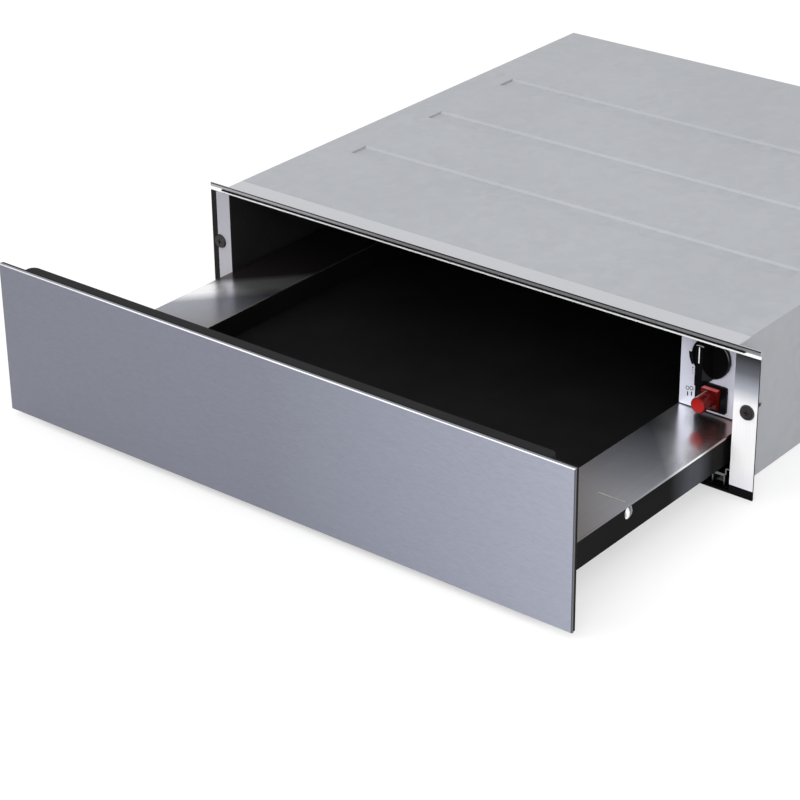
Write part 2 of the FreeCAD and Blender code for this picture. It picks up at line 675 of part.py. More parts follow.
def front_top_bar():
    nose = block(-HALF_FRAME, HALF_FRAME, FRAME_FACE, 0, OPENING_TOP, BAR_TOP)
    shelf = block(-HALF_CAVITY, HALF_CAVITY, 0, BAR_DEPTH, OPENING_TOP, BAR_TOP)
    web = block(-HALF_CAVITY, HALF_CAVITY, BAR_DEPTH - BAR_WEB, BAR_DEPTH, BAR_TOP, COVER_UNDER)
    bar = joined([nose, shelf, web])
    front = edges_along(bar, Vec(1, 0, 0), lambda c: c.y < FRAME_FACE + 1e-6)
    return bar.makeFillet(BAR_ROUND, front)


def door_seal():
    low = BAR_TOP
    high = low + SEAL_H
    lip = [(FRAME_FACE - SEAL_PROUD, low + SEAL_H / 4), (FRAME_FACE, low), (0, low), (0, high),
           (FRAME_FACE, high), (FRAME_FACE - SEAL_PROUD, high - SEAL_H / 4)]
    half = HALF_FRAME - SEAL_SHORT
    return section_along_x(lip, -half, half)


def top_trim():
    bend = FRAME_FACE + TRIM_T
    face = block(-HALF_FRAME, HALF_FRAME, FRAME_FACE, bend, HOUSING_H - TRIM_H, HOUSING_H)
    top = block(-HALF_HOUSING, HALF_HOUSING, bend, TRIM_DEPTH, HOUSING_H - TRIM_T, HOUSING_H)
    return joined([face, top])


def top_cover():
    return ribbed_sheet(TRIM_DEPTH, HOUSING_H, -RIB_DEPTH, HALF_CAVITY - RIB_INSET)


def cover_screw_rods(radius, y0, y1):
    rods = []
    for x in (-1, 1):
        for z in (COVER_SCREW_Z, HOUSING_H - COVER_SCREW_Z):
            rods.append(rod_y(x * (HALF_CAVITY - COVER_SCREW_INSET), z, radius, y0, y1))
    return rods


def slot_grid(x, z_middle, width, height, pitch, count, y0, y1):
    slots = []
    for index in range(count):
        z = z_middle + (index - (count - 1) / 2) * pitch
        body = block(x - (width - height) / 2, x + (width - height) / 2, y0, y1,
                     z - height / 2, z + height / 2)
        ends = [rod_y(x - (width - height) / 2, z, height / 2, y0, y1),
                rod_y(x + (width - height) / 2, z, height / 2, y0, y1)]
        slots.append(joined([body] + ends))
    return slots


def rear_panel():
    plate = block(-HALF_HOUSING, HALF_HOUSING, REAR_INSIDE, HOUSING_D, 0, HOUSING_H)
    cuts = cover_screw_rods(COVER_SCREW_R + HOLE_CLEAR, REAR_INSIDE, HOUSING_D)
    cuts.append(rod_y(TERMINAL_X, GLAND_Z, GLAND_R + HOLE_CLEAR, REAR_INSIDE, HOUSING_D))
    for x in (-LOUVRE_X, LOUVRE_X):
        cuts += slot_grid(x, FAN_Z, LOUVRE_W, LOUVRE_H, LOUVRE_PITCH, LOUVRE_COUNT,
                          REAR_INSIDE, HOUSING_D)
    return less(plate, cuts)


def cover_screws():
    shanks = cover_screw_rods(COVER_SCREW_R, HOUSING_D - COVER_SCREW_L, HOUSING_D)
    heads = cover_screw_rods(COVER_SCREW_HEAD_R, HOUSING_D, HOUSING_D + COVER_SCREW_HEAD_H)
    rim = HOUSING_D + COVER_SCREW_HEAD_H
    screws = []
    for shank, head in zip(shanks, heads):
        edge = [e for e in head.Edges if abs(e.CenterOfMass.y - rim) < 1e-6]
        screws.append(joined([shank, head.makeFillet(COVER_SCREW_HEAD_H / 2, edge)]))
    return screws


# ---- screws and cups on the flanges ---------------------------------------------------------
def flange_screw(x):
    z = FLANGE_SCREW_Z
    top = FRAME_FACE - CUP_H
    point = FLANGE_SCREW_REACH - FLANGE_SCREW_POINT
    head = cone_y(x, z, SCREW_HEAD_R, FLANGE_NECK_R, top, FRAME_FACE)
    neck = rod_y(x, z, FLANGE_NECK_R, FRAME_FACE, 0)
    shank = rod_y(x, z, FLANGE_SCREW_R, 0, point)
    tip = cone_y(x, z, FLANGE_SCREW_R, POINT_R, point, FLANGE_SCREW_REACH)
    low = top + CROSS_DEPTH
    slot = block(x - CROSS_REACH, x + CROSS_REACH, top, low, z - CROSS_W / 2, z + CROSS_W / 2)
    upright = block(x - CROSS_W / 2, x + CROSS_W / 2, top, low, z - CROSS_REACH, z + CROSS_REACH)
    return less(joined([head, neck, shank, tip]), [joined([slot, upright])])


def screw_cup(x):
    z = FLANGE_SCREW_Z
    top = FRAME_FACE - CUP_H
    rim = cone_y(x, z, CUP_FACE_R, CUP_R, top, FRAME_FACE)
    seat = cone_y(x, z, SCREW_HEAD_R + HOLE_CLEAR, FLANGE_NECK_R + HOLE_CLEAR, top, FRAME_FACE)
    return rim.cut(seat)


# ---- control panel ------------------------------------------------------------------------
def control_panel():
    plate = block(HALF_TRAY, HALF_CAVITY, PANEL_FACE, PANEL_BACK, PANEL_BOTTOM, OPENING_TOP)
    gap = FIT_GAP
    cuts = [rod_y(KNOB_X, KNOB_Z, BUSH_R + HOLE_CLEAR, PANEL_FACE, PANEL_BACK),
            block(SWITCH_X - LENS_W / 2 - gap, SWITCH_X + LENS_W / 2 + gap, PANEL_FACE, PANEL_BACK,
                  SWITCH_Z - LENS_H / 2 - gap, SWITCH_Z + LENS_H / 2 + gap)]
    return less(plate, cuts)


def control_box():
    half = BOX_T / 2
    rear = PANEL_BACK + BOX_D
    path = [(HALF_CAVITY, OPENING_TOP - half), (HALF_TRAY + half, OPENING_TOP - half),
            (HALF_TRAY + half, PANEL_BOTTOM + half), (HALF_CAVITY, PANEL_BOTTOM + half)]
    shell = folded(path, BOX_T, BOX_T, PANEL_BACK, rear)
    back = block(HALF_TRAY + BOX_T, HALF_CAVITY, rear - BOX_T, rear,
                 PANEL_BOTTOM + BOX_T, OPENING_TOP - BOX_T)
    return joined([shell, back])


def tab_pair(x, z, y0):
    return [block(x + side * TAB_OUT - TAB_W / 2, x + side * TAB_OUT + TAB_W / 2,
                  y0, y0 + TAB_L, z - TAB_T / 2, z + TAB_T / 2) for side in (-1, 1)]


def thermostat_body():
    rear = PANEL_BACK + THERMOSTAT_L
    can = rod_y(KNOB_X, KNOB_Z, THERMOSTAT_R, PANEL_BACK, rear)
    bush = rod_y(KNOB_X, KNOB_Z, BUSH_R, PANEL_FACE - BUSH_L, PANEL_BACK)
    body = joined([can, bush] + tab_pair(KNOB_X, KNOB_Z, rear))
    bore = rod_y(KNOB_X, KNOB_Z, SHAFT_R + RUNNING, PANEL_FACE - BUSH_L, rear - THERMOSTAT_REAR)
    return body.cut(bore)


def thermostat_nut():
    corners = []
    for index in range(6):
        angle = math.radians(60 * index)
        corners.append(Vec(KNOB_X + NUT_R * math.cos(angle), PANEL_FACE - NUT_T,
                           KNOB_Z + NUT_R * math.sin(angle)))
    nut = prism(corners, Vec(0, NUT_T, 0))
    return nut.cut(rod_y(KNOB_X, KNOB_Z, BUSH_R, PANEL_FACE - NUT_T, PANEL_FACE))


def thermostat_shaft():
    end = PANEL_BACK + THERMOSTAT_L - THERMOSTAT_REAR - SHAFT_END_GAP
    return rod_y(KNOB_X, KNOB_Z, SHAFT_R, KNOB_FACE - SHAFT_IN_GRIP, end)


def knob_pointer():
    top = KNOB_Z + KNOB_R - POINTER_IN
    return block(KNOB_X - POINTER_W / 2, KNOB_X + POINTER_W / 2, GRIP_FACE, GRIP_FACE + POINTER_T,
                 top - POINTER_L, top)


def thermostat_knob():
    """A shallow skirt with a tall, narrow grip right across it."""
    inside = KNOB_FACE + KNOB_WALL
    skirt = rod_y(KNOB_X, KNOB_Z, KNOB_R, KNOB_FACE, KNOB_RIM)
    skirt = skirt.makeFillet(KNOB_EDGE, [e for e in skirt.Edges if abs(e.CenterOfMass.y - KNOB_FACE) < 1e-6])
    skirt = skirt.cut(rod_y(KNOB_X, KNOB_Z, KNOB_R - KNOB_WALL, inside, KNOB_RIM))
    hub = rod_y(KNOB_X, KNOB_Z, HUB_R, inside - KNOB_WALL / 2, PANEL_FACE - BUSH_L - KNOB_GAP / 2)
    bar = block(KNOB_X - KNOB_GRIP_W / 2, KNOB_X + KNOB_GRIP_W / 2, GRIP_FACE, inside,
                KNOB_Z - KNOB_R, KNOB_Z + KNOB_R)
    grip = bar.common(rod_y(KNOB_X, KNOB_Z, KNOB_R, GRIP_FACE, inside))
    bore = rod_y(KNOB_X, KNOB_Z, SHAFT_R, KNOB_FACE - SHAFT_IN_GRIP, KNOB_RIM)
    return less(joined([skirt, hub, grip]), [bore, knob_pointer()])


def switch_bezel():
    y0 = BEZEL_FACE
    frame = block(SWITCH_X - BEZEL_W / 2, SWITCH_X + BEZEL_W / 2, y0, PANEL_FACE,
                  SWITCH_Z - BEZEL_H / 2, SWITCH_Z + BEZEL_H / 2)
    frame = frame.makeFillet(BEZEL_ROUND, edges_along(frame, Vec(0, 1, 0), lambda c: True))
    window = block(SWITCH_X - LENS_W / 2 - FIT_GAP, SWITCH_X + LENS_W / 2 + FIT_GAP, y0, PANEL_FACE,
                   SWITCH_Z - LENS_H / 2 - FIT_GAP, SWITCH_Z + LENS_H / 2 + FIT_GAP)
    return frame.cut(window)


def switch_lens():
    y0 = LENS_FACE
    lens = block(SWITCH_X - LENS_W / 2, SWITCH_X + LENS_W / 2, y0, PANEL_BACK,
                 SWITCH_Z - LENS_H / 2, SWITCH_Z + LENS_H / 2)
    rim = [e for e in lens.Edges if abs(e.CenterOfMass.y - y0) < 1e-6]
    lens = lens.makeChamfer(LENS_CHAMFER, rim)
    return lens.cut(rod_y(SWITCH_X, SWITCH_Z, BUTTON_R + BUTTON_CLEAR, y0, PANEL_BACK))


def power_button():
    y0 = LENS_FACE - BUTTON_PROUD
    button = rod_y(SWITCH_X, SWITCH_Z, BUTTON_R, y0, LENS_FACE + BUTTON_GUIDE)
    rim = [e for e in button.Edges if abs(e.CenterOfMass.y - y0) < 1e-6]
    return button.makeFillet(BUTTON_ROUND, rim)


def switch_body():
    rear = PANEL_BACK + SWITCH_BODY_L
    body = block(SWITCH_X - SWITCH_BODY_W / 2, SWITCH_X + SWITCH_BODY_W / 2, PANEL_BACK, rear,
                 SWITCH_Z - SWITCH_BODY_H / 2, SWITCH_Z + SWITCH_BODY_H / 2)
    body = joined([body] + tab_pair(SWITCH_X, SWITCH_Z, rear))
    return body.cut(rod_y(SWITCH_X, SWITCH_Z, BUTTON_R + BUTTON_CLEAR, PANEL_BACK,
                          PANEL_BACK + BUTTON_GUIDE))


# ---- warm-air unit ------------------------------------------------------------------------
def rear_grille():
    plate = block(-HALF_CAVITY, HALF_CAVITY, GRILLE_Y, GRILLE_Y + SHEET, SHEET, COVER_UNDER)
    y0, y1 = GRILLE_Y, GRILLE_Y + SHEET
    cuts = []
    for index in range(GRILLE_SLOTS):
        slot = block(GRILLE_SLOT_IN, GRILLE_SLOT_OUT, y0, y1,
                     FAN_Z - GRILLE_SLOT_W / 2, FAN_Z + GRILLE_SLOT_W / 2)
        slot.rotate(Vec(0, 0, FAN_Z), Vec(0, 1, 0), 360.0 * index / GRILLE_SLOTS)
        cuts.append(slot)
    for x in (-OUTLET_X, OUTLET_X):
        cuts += slot_grid(x, FAN_Z, OUTLET_W, OUTLET_H, OUTLET_PITCH, OUTLET_COUNT, y0, y1)
    return less(plate, cuts)


def fan_blade(y0, y1):
    centre = Vec((FAN_HUB_R + IMPELLER_R) / 2, y0, FAN_Z - BLADE_DROP)
    outer = Part.makeCylinder(BLADE_R + BLADE_T, y1 - y0, centre, Vec(0, 1, 0))
    inner = Part.makeCylinder(BLADE_R, y1 - y0, centre, Vec(0, 1, 0))
    ring = rod_y(0, FAN_Z, IMPELLER_R, y0, y1).cut(rod_y(0, FAN_Z, FAN_HUB_R + BLADE_T, y0, y1))
    upper = block(FAN_HUB_R / 2, IMPELLER_R, y0, y1, FAN_Z - BLADE_DROP, FAN_Z + IMPELLER_R)
    return outer.cut(inner).common(ring).common(upper)


def fan_impeller():
    plate = rod_y(0, FAN_Z, IMPELLER_R, IMPELLER_BACK - BLADE_T, IMPELLER_BACK)
    hub = rod_y(0, FAN_Z, FAN_HUB_R, IMPELLER_FACE, IMPELLER_BACK)
    blade = fan_blade(IMPELLER_FACE, IMPELLER_BACK - BLADE_T)
    blades = []
    for index in range(BLADE_COUNT):
        copy = blade.copy()
        copy.rotate(Vec(0, 0, FAN_Z), Vec(0, 1, 0), 360.0 * index / BLADE_COUNT)
        blades.append(copy)
    wheel = joined([plate, hub] + blades)
    return wheel.cut(rod_y(0, FAN_Z, FAN_SHAFT_R, IMPELLER_FACE, IMPELLER_BACK))


def fan_shaft():
    return rod_y(0, FAN_Z, FAN_SHAFT_R, IMPELLER_FACE, MOTOR_FACE + MOTOR_BORE_L - FAN_SHAFT_GAP)


def fan_motor():
    can = rod_y(0, FAN_Z, MOTOR_R, MOTOR_FACE, REAR_INSIDE)
    plate = rod_y(0, FAN_Z, MOTOR_PLATE_R, REAR_INSIDE - MOTOR_PLATE_T, REAR_INSIDE)
    bore = rod_y(0, FAN_Z, FAN_SHAFT_R + RUNNING, MOTOR_FACE, MOTOR_FACE + MOTOR_BORE_L)
    return joined([can, plate]).cut(bore)


def ring_heater():
    """A rod bent to a ring, with both ends turned back to their flange on the rear panel."""
    middle = (IMPELLER_FACE + IMPELLER_BACK) / 2
    end = REAR_INSIDE - HEATER_FLANGE_T
    start_angle = math.radians(90 + HEATER_LEG_ANGLE)
    stop_angle = math.radians(450 - HEATER_LEG_ANGLE)
    spots = []
    for angle in (start_angle, (start_angle + stop_angle) / 2, stop_angle):
        spots.append(Vec(HEATER_RING_R * math.cos(angle), middle, FAN_Z + HEATER_RING_R * math.sin(angle)))
    into_ring = Vec(-math.sin(start_angle), 0, math.cos(start_angle))
    out_of_ring = Vec(-math.sin(stop_angle), 0, math.cos(stop_angle))
    first = heater_bend(spots[0], into_ring * -1)
    last = heater_bend(spots[2], out_of_ring)
    first_end = Vec(first[0].x, end, first[0].z)
    last_end = Vec(last[0].x, end, last[0].z)
    path = Part.Wire([
        Part.makeLine(first_end, first[0]), Part.Arc(first[0], first[1], first[2]).toShape(),
        Part.Arc(spots[0], spots[1], spots[2]).toShape(),
        Part.Arc(last[2], last[1], last[0]).toShape(), Part.makeLine(last[0], last_end)])
    circle = Part.Wire(Part.makeCircle(HEATER_ROD_R, first_end, Vec(0, 1, 0)))
    rod = path.makePipeShell([circle], True, True)
    top = first_end.z
    flange = block(-HEATER_FLANGE_W / 2, HEATER_FLANGE_W / 2, end, REAR_INSIDE,
                   top - HEATER_FLANGE_H / 2, top + HEATER_FLANGE_H / 2)
    return joined([rod, flange])


def heater_bend(ring_end, outward):
    """Three points of the quarter bend between a leg and the ring."""
    centre = ring_end + Vec(0, HEATER_BEND_R, 0)
    leg_end = centre + outward * HEATER_BEND_R
    middle = centre + (outward - Vec(0, 1, 0)).normalize() * HEATER_BEND_R
    return [leg_end, middle, ring_end]


def terminal_block():
    y0 = REAR_INSIDE - TERMINAL_D
    body = block(TERMINAL_X - TERMINAL_W / 2, TERMINAL_X + TERMINAL_W / 2, y0, REAR_INSIDE,
                 TERMINAL_Z - TERMINAL_H / 2, TERMINAL_Z + TERMINAL_H / 2)
    ports = []
    for index in range(TERMINAL_WAYS):
        x = TERMINAL_X + (index - (TERMINAL_WAYS - 1) / 2) * TERMINAL_W / TERMINAL_WAYS
        ports.append(Part.makeCylinder(TERMINAL_PORT_R, TERMINAL_H,
                                       Vec(x, y0 + TERMINAL_D / 2, TERMINAL_Z - TERMINAL_H / 2)))
    return less(body, ports)


def cable_gland():
    body = rod_y(TERMINAL_X, GLAND_Z, GLAND_R, REAR_INSIDE - GLAND_NUT_T, HOUSING_D + GLAND_OUT)
    collar = rod_y(TERMINAL_X, GLAND_Z, GLAND_NUT_R, HOUSING_D, HOUSING_D + GLAND_OUT)
    mouth = [e for e in collar.Edges if abs(e.CenterOfMass.y - HOUSING_D - GLAND_OUT) < 1e-6]
    collar = collar.makeFillet(GLAND_ROUND, mouth)
    nut = rod_y(TERMINAL_X, GLAND_Z, GLAND_NUT_R, REAR_INSIDE - GLAND_NUT_T, REAR_INSIDE)
    bore = rod_y(TERMINAL_X, GLAND_Z, GLAND_BORE_R, REAR_INSIDE - GLAND_NUT_T, HOUSING_D + GLAND_OUT)
    return joined([body, collar, nut]).cut(bore)


# ---- push-to-open latch -------------------------------------------------------------------
def latch_body():
    body = block(-LATCH_W / 2, LATCH_W / 2, LATCH_FACE, GRILLE_Y,
                 LATCH_Z - LATCH_H / 2, LATCH_Z + LATCH_H / 2)
    body = body.makeFillet(LATCH_ROUND, edges_along(body, Vec(0, 1, 0), lambda c: True))
    bore_end = LATCH_FACE + PLUNGER_GUIDE + PLUNGER_TRAVEL + PLUNGER_GAP
    return body.cut(rod_y(0, LATCH_Z, PLUNGER_R + PLUNGER_CLEAR, LATCH_FACE, bore_end))


def latch_plunger():
    plunger = rod_y(0, LATCH_Z, PLUNGER_R, PLUNGER_TIP, LATCH_FACE + PLUNGER_GUIDE)
    nose = [e for e in plunger.Edges if abs(e.CenterOfMass.y - PLUNGER_TIP) < 1e-6]
    return plunger.makeFillet(PLUNGER_ROUND, nose)


# ---- all the pieces -----------------------------------------------------------------------
def both_sides(name, right):
    return {name + "_right": right, name + "_left": mirrored(right)}


def pieces():
    found = {
        "front_panel": front_panel(),
        "front_filler": front_filler(),
        "front_backing": front_backing(),
        "inner_front": inner_front(),
        "drawer_tray": drawer_tray(),
        "floor_mat": floor_mat(),
        "drawer_rear_wall": drawer_rear_wall(),
        "side_studs": Part.makeCompound([side_stud(), mirrored(side_stud())]),
        "front_screws": Part.makeCompound(front_screws()),
        "latch_striker": latch_striker(),
        "housing_base": housing_base(),
        "front_sill": front_sill(),
        "front_top_bar": front_top_bar(),
        "door_seal": door_seal(),
        "top_trim": top_trim(),
        "top_cover": top_cover(),
        "rear_panel": rear_panel(),
        "cover_screws": Part.makeCompound(cover_screws()),
        "flange_screws": Part.makeCompound([flange_screw(-FLANGE_SCREW_X), flange_screw(FLANGE_SCREW_X)]),
        "screw_cups": Part.makeCompound([screw_cup(-FLANGE_SCREW_X), screw_cup(FLANGE_SCREW_X)]),
        "control_panel": control_panel(),
        "control_box": control_box(),
        "thermostat_body": thermostat_body(),
        "thermostat_nut": thermostat_nut(),
        "thermostat_shaft": thermostat_shaft(),
        "thermostat_knob": thermostat_knob(),
        "knob_pointer": knob_pointer(),
        "switch_bezel": switch_bezel(),
        "switch_lens": switch_lens(),
        "switch_body": switch_body(),
        "power_button": power_button(),
        "rear_grille": rear_grille(),
        "fan_impeller": fan_impeller(),
        "fan_shaft": fan_shaft(),
        "fan_motor": fan_motor(),
        "ring_heater": ring_heater(),
        "terminal_block": terminal_block(),
        "cable_gland": cable_gland(),
        "latch_body": latch_body(),
        "latch_plunger": latch_plunger(),
    }
    found.update(both_sides("ledge", right_ledge()))
    found.update(both_sides("drawer_side", right_side()))
    found.update(both_sides("front_bracket", right_front_bracket()))
    found.update(both_sides("outer_rail", right_outer_rail()))
    found.update(both_sides("rail_brace", right_rail_brace()))
    found.update(both_sides("middle_rail", right_middle_rail()))
    found.update(both_sides("inner_rail", right_inner_rail()))
    found.update(both_sides("side_wall", right_wall()))
    found.update(both_sides("frame_flange", right_flange()))
    return found


os.makedirs("parts", exist_ok=True)
for node, shape in pieces().items():
    shape.exportStep("parts/" + node + ".step")
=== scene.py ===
import json
import math

import bmesh
import bpy
from mathutils import Matrix, Vector


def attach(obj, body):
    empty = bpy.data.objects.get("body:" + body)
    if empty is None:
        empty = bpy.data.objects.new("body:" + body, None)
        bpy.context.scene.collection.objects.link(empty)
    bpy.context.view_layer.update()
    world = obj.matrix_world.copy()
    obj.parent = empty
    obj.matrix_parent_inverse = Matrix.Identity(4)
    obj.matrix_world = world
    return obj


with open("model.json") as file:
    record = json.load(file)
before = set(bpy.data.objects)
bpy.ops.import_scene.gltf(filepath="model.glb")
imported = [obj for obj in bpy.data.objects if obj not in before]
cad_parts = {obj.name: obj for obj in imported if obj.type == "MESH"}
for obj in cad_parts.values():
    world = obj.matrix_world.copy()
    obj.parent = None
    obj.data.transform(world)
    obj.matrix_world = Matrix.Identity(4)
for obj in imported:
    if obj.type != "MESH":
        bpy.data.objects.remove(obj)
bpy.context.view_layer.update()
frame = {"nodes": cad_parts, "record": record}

MM = 0.001

# ---- camera: the photograph's viewpoint -----------------------------------------------------
CAMERA_AT = Vector((1.1776, -1.5409, 0.9902))
CAMERA_YAW = math.radians(39.078)        # to the left of straight ahead
CAMERA_PITCH = math.radians(27.029)      # down
CAMERA_ROLL = math.radians(-0.697)
FOCAL_PIXELS = 2483.8
PHOTO_PIXELS = 800.0
SENSOR_MM = 36.0

# ---- light levels -----------------------------------------------------------------------------
WORLD_LEVEL = 0.92
FLOOR_Z = -0.0006
FLOOR_SIZE = 24.0
FLOOR_COLOUR = 0.50
FLOOR_GLOW = 0.50
LAMPS = (                                # name, place, width and height, watts
    ("key", (-1.2, -1.6, 2.4), (2.4, 2.4), 22.0),
    ("fill", (1.5, -2.0, 1.1), (2.2, 2.0), 35.0),
)

# ---- places that the paint and the marks share --------------------------------------------------
DIAL_AT = (235.3, 103.4)                 # the knob's axis, X and Z in mm
SHEARED_END = 0.7                        # a normal this far along an axis belongs to a sheared end


# ---- shader helpers ---------------------------------------------------------------------------
def even(turns):
    """The same texture scale along X, Y and Z."""
    return turns, turns, turns


class Shade:
    """One material and short ways to add nodes to it. Texture scales are in turns per metre."""

    def __init__(self, name, colour, metallic=0.0, roughness=0.5, **sockets):
        self.material = bpy.data.materials.new(name)
        self.material.use_nodes = True
        self.nodes = self.material.node_tree.nodes
        self.links = self.material.node_tree.links
        self.shader = self.nodes["Principled BSDF"]
        self.colour = colour
        self.set("Base Color", (*colour, 1.0))
        self.set("Metallic", metallic)
        self.set("Roughness", roughness)
        for socket, value in sockets.items():
            self.set(socket.replace("_", " "), value)

    def set(self, socket, value):
        self.shader.inputs[socket].default_value = value

    def join(self, socket, value):
        self.links.new(value, self.shader.inputs[socket])

    def node(self, kind, settings=(), inputs=()):
        made = self.nodes.new(kind)
        for key, value in dict(settings).items():
            setattr(made, key, value)
        for key, value in dict(inputs).items():
            if isinstance(value, bpy.types.NodeSocket):
                self.links.new(value, made.inputs[key])
            else:
                made.inputs[key].default_value = value
        return made

    def place(self, scale):
        """Object coordinates, stretched."""
        coords = self.node("ShaderNodeTexCoord")
        mapping = self.node("ShaderNodeMapping", inputs={"Vector": coords.outputs["Object"]})
        mapping.inputs["Scale"].default_value = scale
        return mapping.outputs["Vector"]

    def along(self, axis, space="Object"):
        """The object's own X, Y or Z in metres, or with space Normal the way a face looks."""
        coords = self.node("ShaderNodeTexCoord")
        split = self.node("ShaderNodeSeparateXYZ", inputs={0: coords.outputs[space]})
        return split.outputs[axis]

    def looks_along(self, axis):
        """1 on the sheared ends, which look along the axis, either way."""
        towards = self.maths("ABSOLUTE", self.along(axis, "Normal"))
        return self.maths("GREATER_THAN", towards, SHEARED_END)

    def noise(self, scale, detail=2.0, rough=0.5):
        made = self.node("ShaderNodeTexNoise", inputs={
            "Vector": self.place(scale), "Scale": 1.0, "Detail": detail, "Roughness": rough})
        return made.outputs["Fac"]

    def cells(self, scale, output="Color"):
        made = self.node("ShaderNodeTexVoronoi", inputs={"Vector": self.place(scale), "Scale": 1.0})
        return made.outputs[output]

    def maths(self, kind, first, second=0.0):
        made = self.node("ShaderNodeMath", {"operation": kind}, {0: first, 1: second})
        return made.outputs[0]

    def mixed(self, first, second, share):
        """Two noises added, the first with the given share."""
        return self.maths("ADD", self.maths("MULTIPLY", first, share),
                          self.maths("MULTIPLY", second, 1 - share))

    def between(self, factor, low, high, spread=(0.3, 0.7)):
        """A number from low to high as the factor goes through spread."""
        made = self.node("ShaderNodeMapRange", inputs={
            "Value": factor, "From Min": spread[0], "From Max": spread[1],
            "To Min": low, "To Max": high})
        return made.outputs["Result"]

    def ramp(self, value, stops):
        """A colour that changes along the value, from stops of (value, colour)."""
        first, last = stops[0][0], stops[-1][0]
        share = self.between(value, 0.0, 1.0, (first, last))
        made = self.node("ShaderNodeValToRGB", inputs={0: share})
        elements = made.color_ramp.elements
        elements[0].color = (*stops[0][1], 1.0)
        elements[1].color = (*stops[-1][1], 1.0)
        for at, colour in stops[1:-1]:
            elements.new((at - first) / (last - first)).color = (*colour, 1.0)
        return made.outputs["Color"]

    def blend(self, factor, first, second, mode="MIX"):
        """The first colour where the factor is 0, the second where it is 1."""
        made = self.node("ShaderNodeMix", {"data_type": "RGBA", "blend_type": mode})
        for index, value in ((0, factor), (6, first), (7, second)):
            if isinstance(value, bpy.types.NodeSocket):
                self.links.new(value, made.inputs[index])
            elif index == 0:
                made.inputs[index].default_value = value
            else:
                made.inputs[index].default_value = (*value, 1.0)
        return made.outputs[2]

    def vary(self, factor, amount, base=None):
        """The base colour, darker to lighter by a share as the factor rises."""
        grey = self.between(factor, 1 - amount, 1 + amount)
        colour = self.blend(1.0, base or self.colour, grey, "MULTIPLY")
        self.join("Base Color", colour)
        return colour

    def bump(self, height, strength, depth):
        made = self.node("ShaderNodeBump", inputs={
            "Height": height, "Strength": strength, "Distance": depth})
        self.join("Normal", made.outputs["Normal"])


# ---- metals: a painted sheen (painted reflection and shade) gives the colour at places along one axis, in metres ---
# painted sheen across the face: darker to the left, lighter to the right
FACE_SHEEN = ((-0.2975, (0.205, 0.212, 0.256)), (0.0, (0.225, 0.235, 0.284)),
              (0.2975, (0.362, 0.380, 0.456)))
FACE_LOOKS = -0.80                       # the face's normals have less Y than this
CHAMFER_LOOKS = -0.60                    # and the chamfer's less than this; the rest is the rim
# painted highlight on the chamfer's upper faces and painted shade on its sides; painted light and
# shade on the rim
CHAMFER_HIGHLIGHT = (0.61, 0.62, 0.66)
CHAMFER_SIDE_SHADE = (0.10, 0.104, 0.122)
RIM_TOP_LIGHT = (0.24, 0.245, 0.265)
RIM_SIDE_SHADE = (0.17, 0.175, 0.19)
RIM_SHADE_FROM = -0.2587                 # behind this the folded side is painted dark, a painted shade
RIM_SHADE = (0.010, 0.010, 0.011)
RIM_BACK_HIGHLIGHT = (0.34, 0.35, 0.37)


def front_steel():
    """Brushed face along X with a painted sheen; painted highlight and shade on the cut chamfer and
    the folded rim.
    """
    shade = Shade("front_steel", FACE_SHEEN[1][1], 1.0, 0.36)
    fine = shade.noise((190.0, 1000.0, 1000.0), 3.0, 0.6)
    broad = shade.noise((11.0, 150.0, 150.0))
    streaks = shade.mixed(fine, broad, 0.85)
    face = shade.vary(streaks, 0.07, shade.ramp(shade.along("X"), FACE_SHEEN))
    ahead = shade.along("Y", "Normal")
    above = shade.along("Z", "Normal")
    chamfer = shade.blend(shade.maths("GREATER_THAN", above, 0.3), CHAMFER_SIDE_SHADE, CHAMFER_HIGHLIGHT)
    shaded = shade.maths("GREATER_THAN", shade.along("Y"), RIM_SHADE_FROM)
    side = shade.blend(shaded, RIM_SIDE_SHADE, RIM_SHADE)
    rim = shade.blend(shade.maths("GREATER_THAN", above, 0.8), side, RIM_TOP_LIGHT)
    # painted highlight along the rim's rear edge
    rear_edge = shade.maths("MULTIPLY", shade.maths("GREATER_THAN", ahead, 0.25),
                            shade.maths("GREATER_THAN", above, 0.3))
    rim = shade.blend(rear_edge, rim, RIM_BACK_HIGHLIGHT)
    cut = shade.blend(shade.maths("LESS_THAN", ahead, CHAMFER_LOOKS), rim, chamfer)
    is_face = shade.maths("LESS_THAN", ahead, FACE_LOOKS)
    shade.join("Base Color", shade.blend(is_face, cut, face))
    shade.join("Roughness", shade.between(streaks, 0.33, 0.40))
    shade.bump(fine, 0.15, 0.00001)
    return shade


# painted reflections along the ledge: brownish at the front, a bright streak near the frame,
# painted shade beyond it
LEDGE_SHEEN = (
    (-0.22, (0.150, 0.134, 0.120)), (-0.17, (0.125, 0.114, 0.112)), (-0.12, (0.20, 0.20, 0.22)),
    (-0.055, (0.28, 0.29, 0.33)), (-0.030, (0.88, 0.88, 0.90)), (-0.008, (0.92, 0.92, 0.94)),
    (0.010, (0.16, 0.14, 0.14)))
LEDGE_MIDDLE = 0.235
SHEEN_SLANT = 1.1                        # the painted sheen moves forward by this, outward from the middle
MIRROR_ALONG = (-0.10, -0.02)            # the ledge turns more mirror-like over this length
SWITCH_REFLECTION = (0.42, 0.29, 0.28)         # painted reddish-brown reflection of the switch, in the right corner by the frame
SWITCH_REFLECTION_SHARE = 0.85
SWITCH_REFLECTION_ACROSS = (0.242, 0.252)
SWITCH_REFLECTION_ALONG = (-0.040, -0.020)
SEAM_BELOW = 0.05225                     # the cross seam's floor lies under this
SEAM_INSIDE = 0.264                      # and reaches out to this
SEAM_PALE = (0.62, 0.56, 0.49)


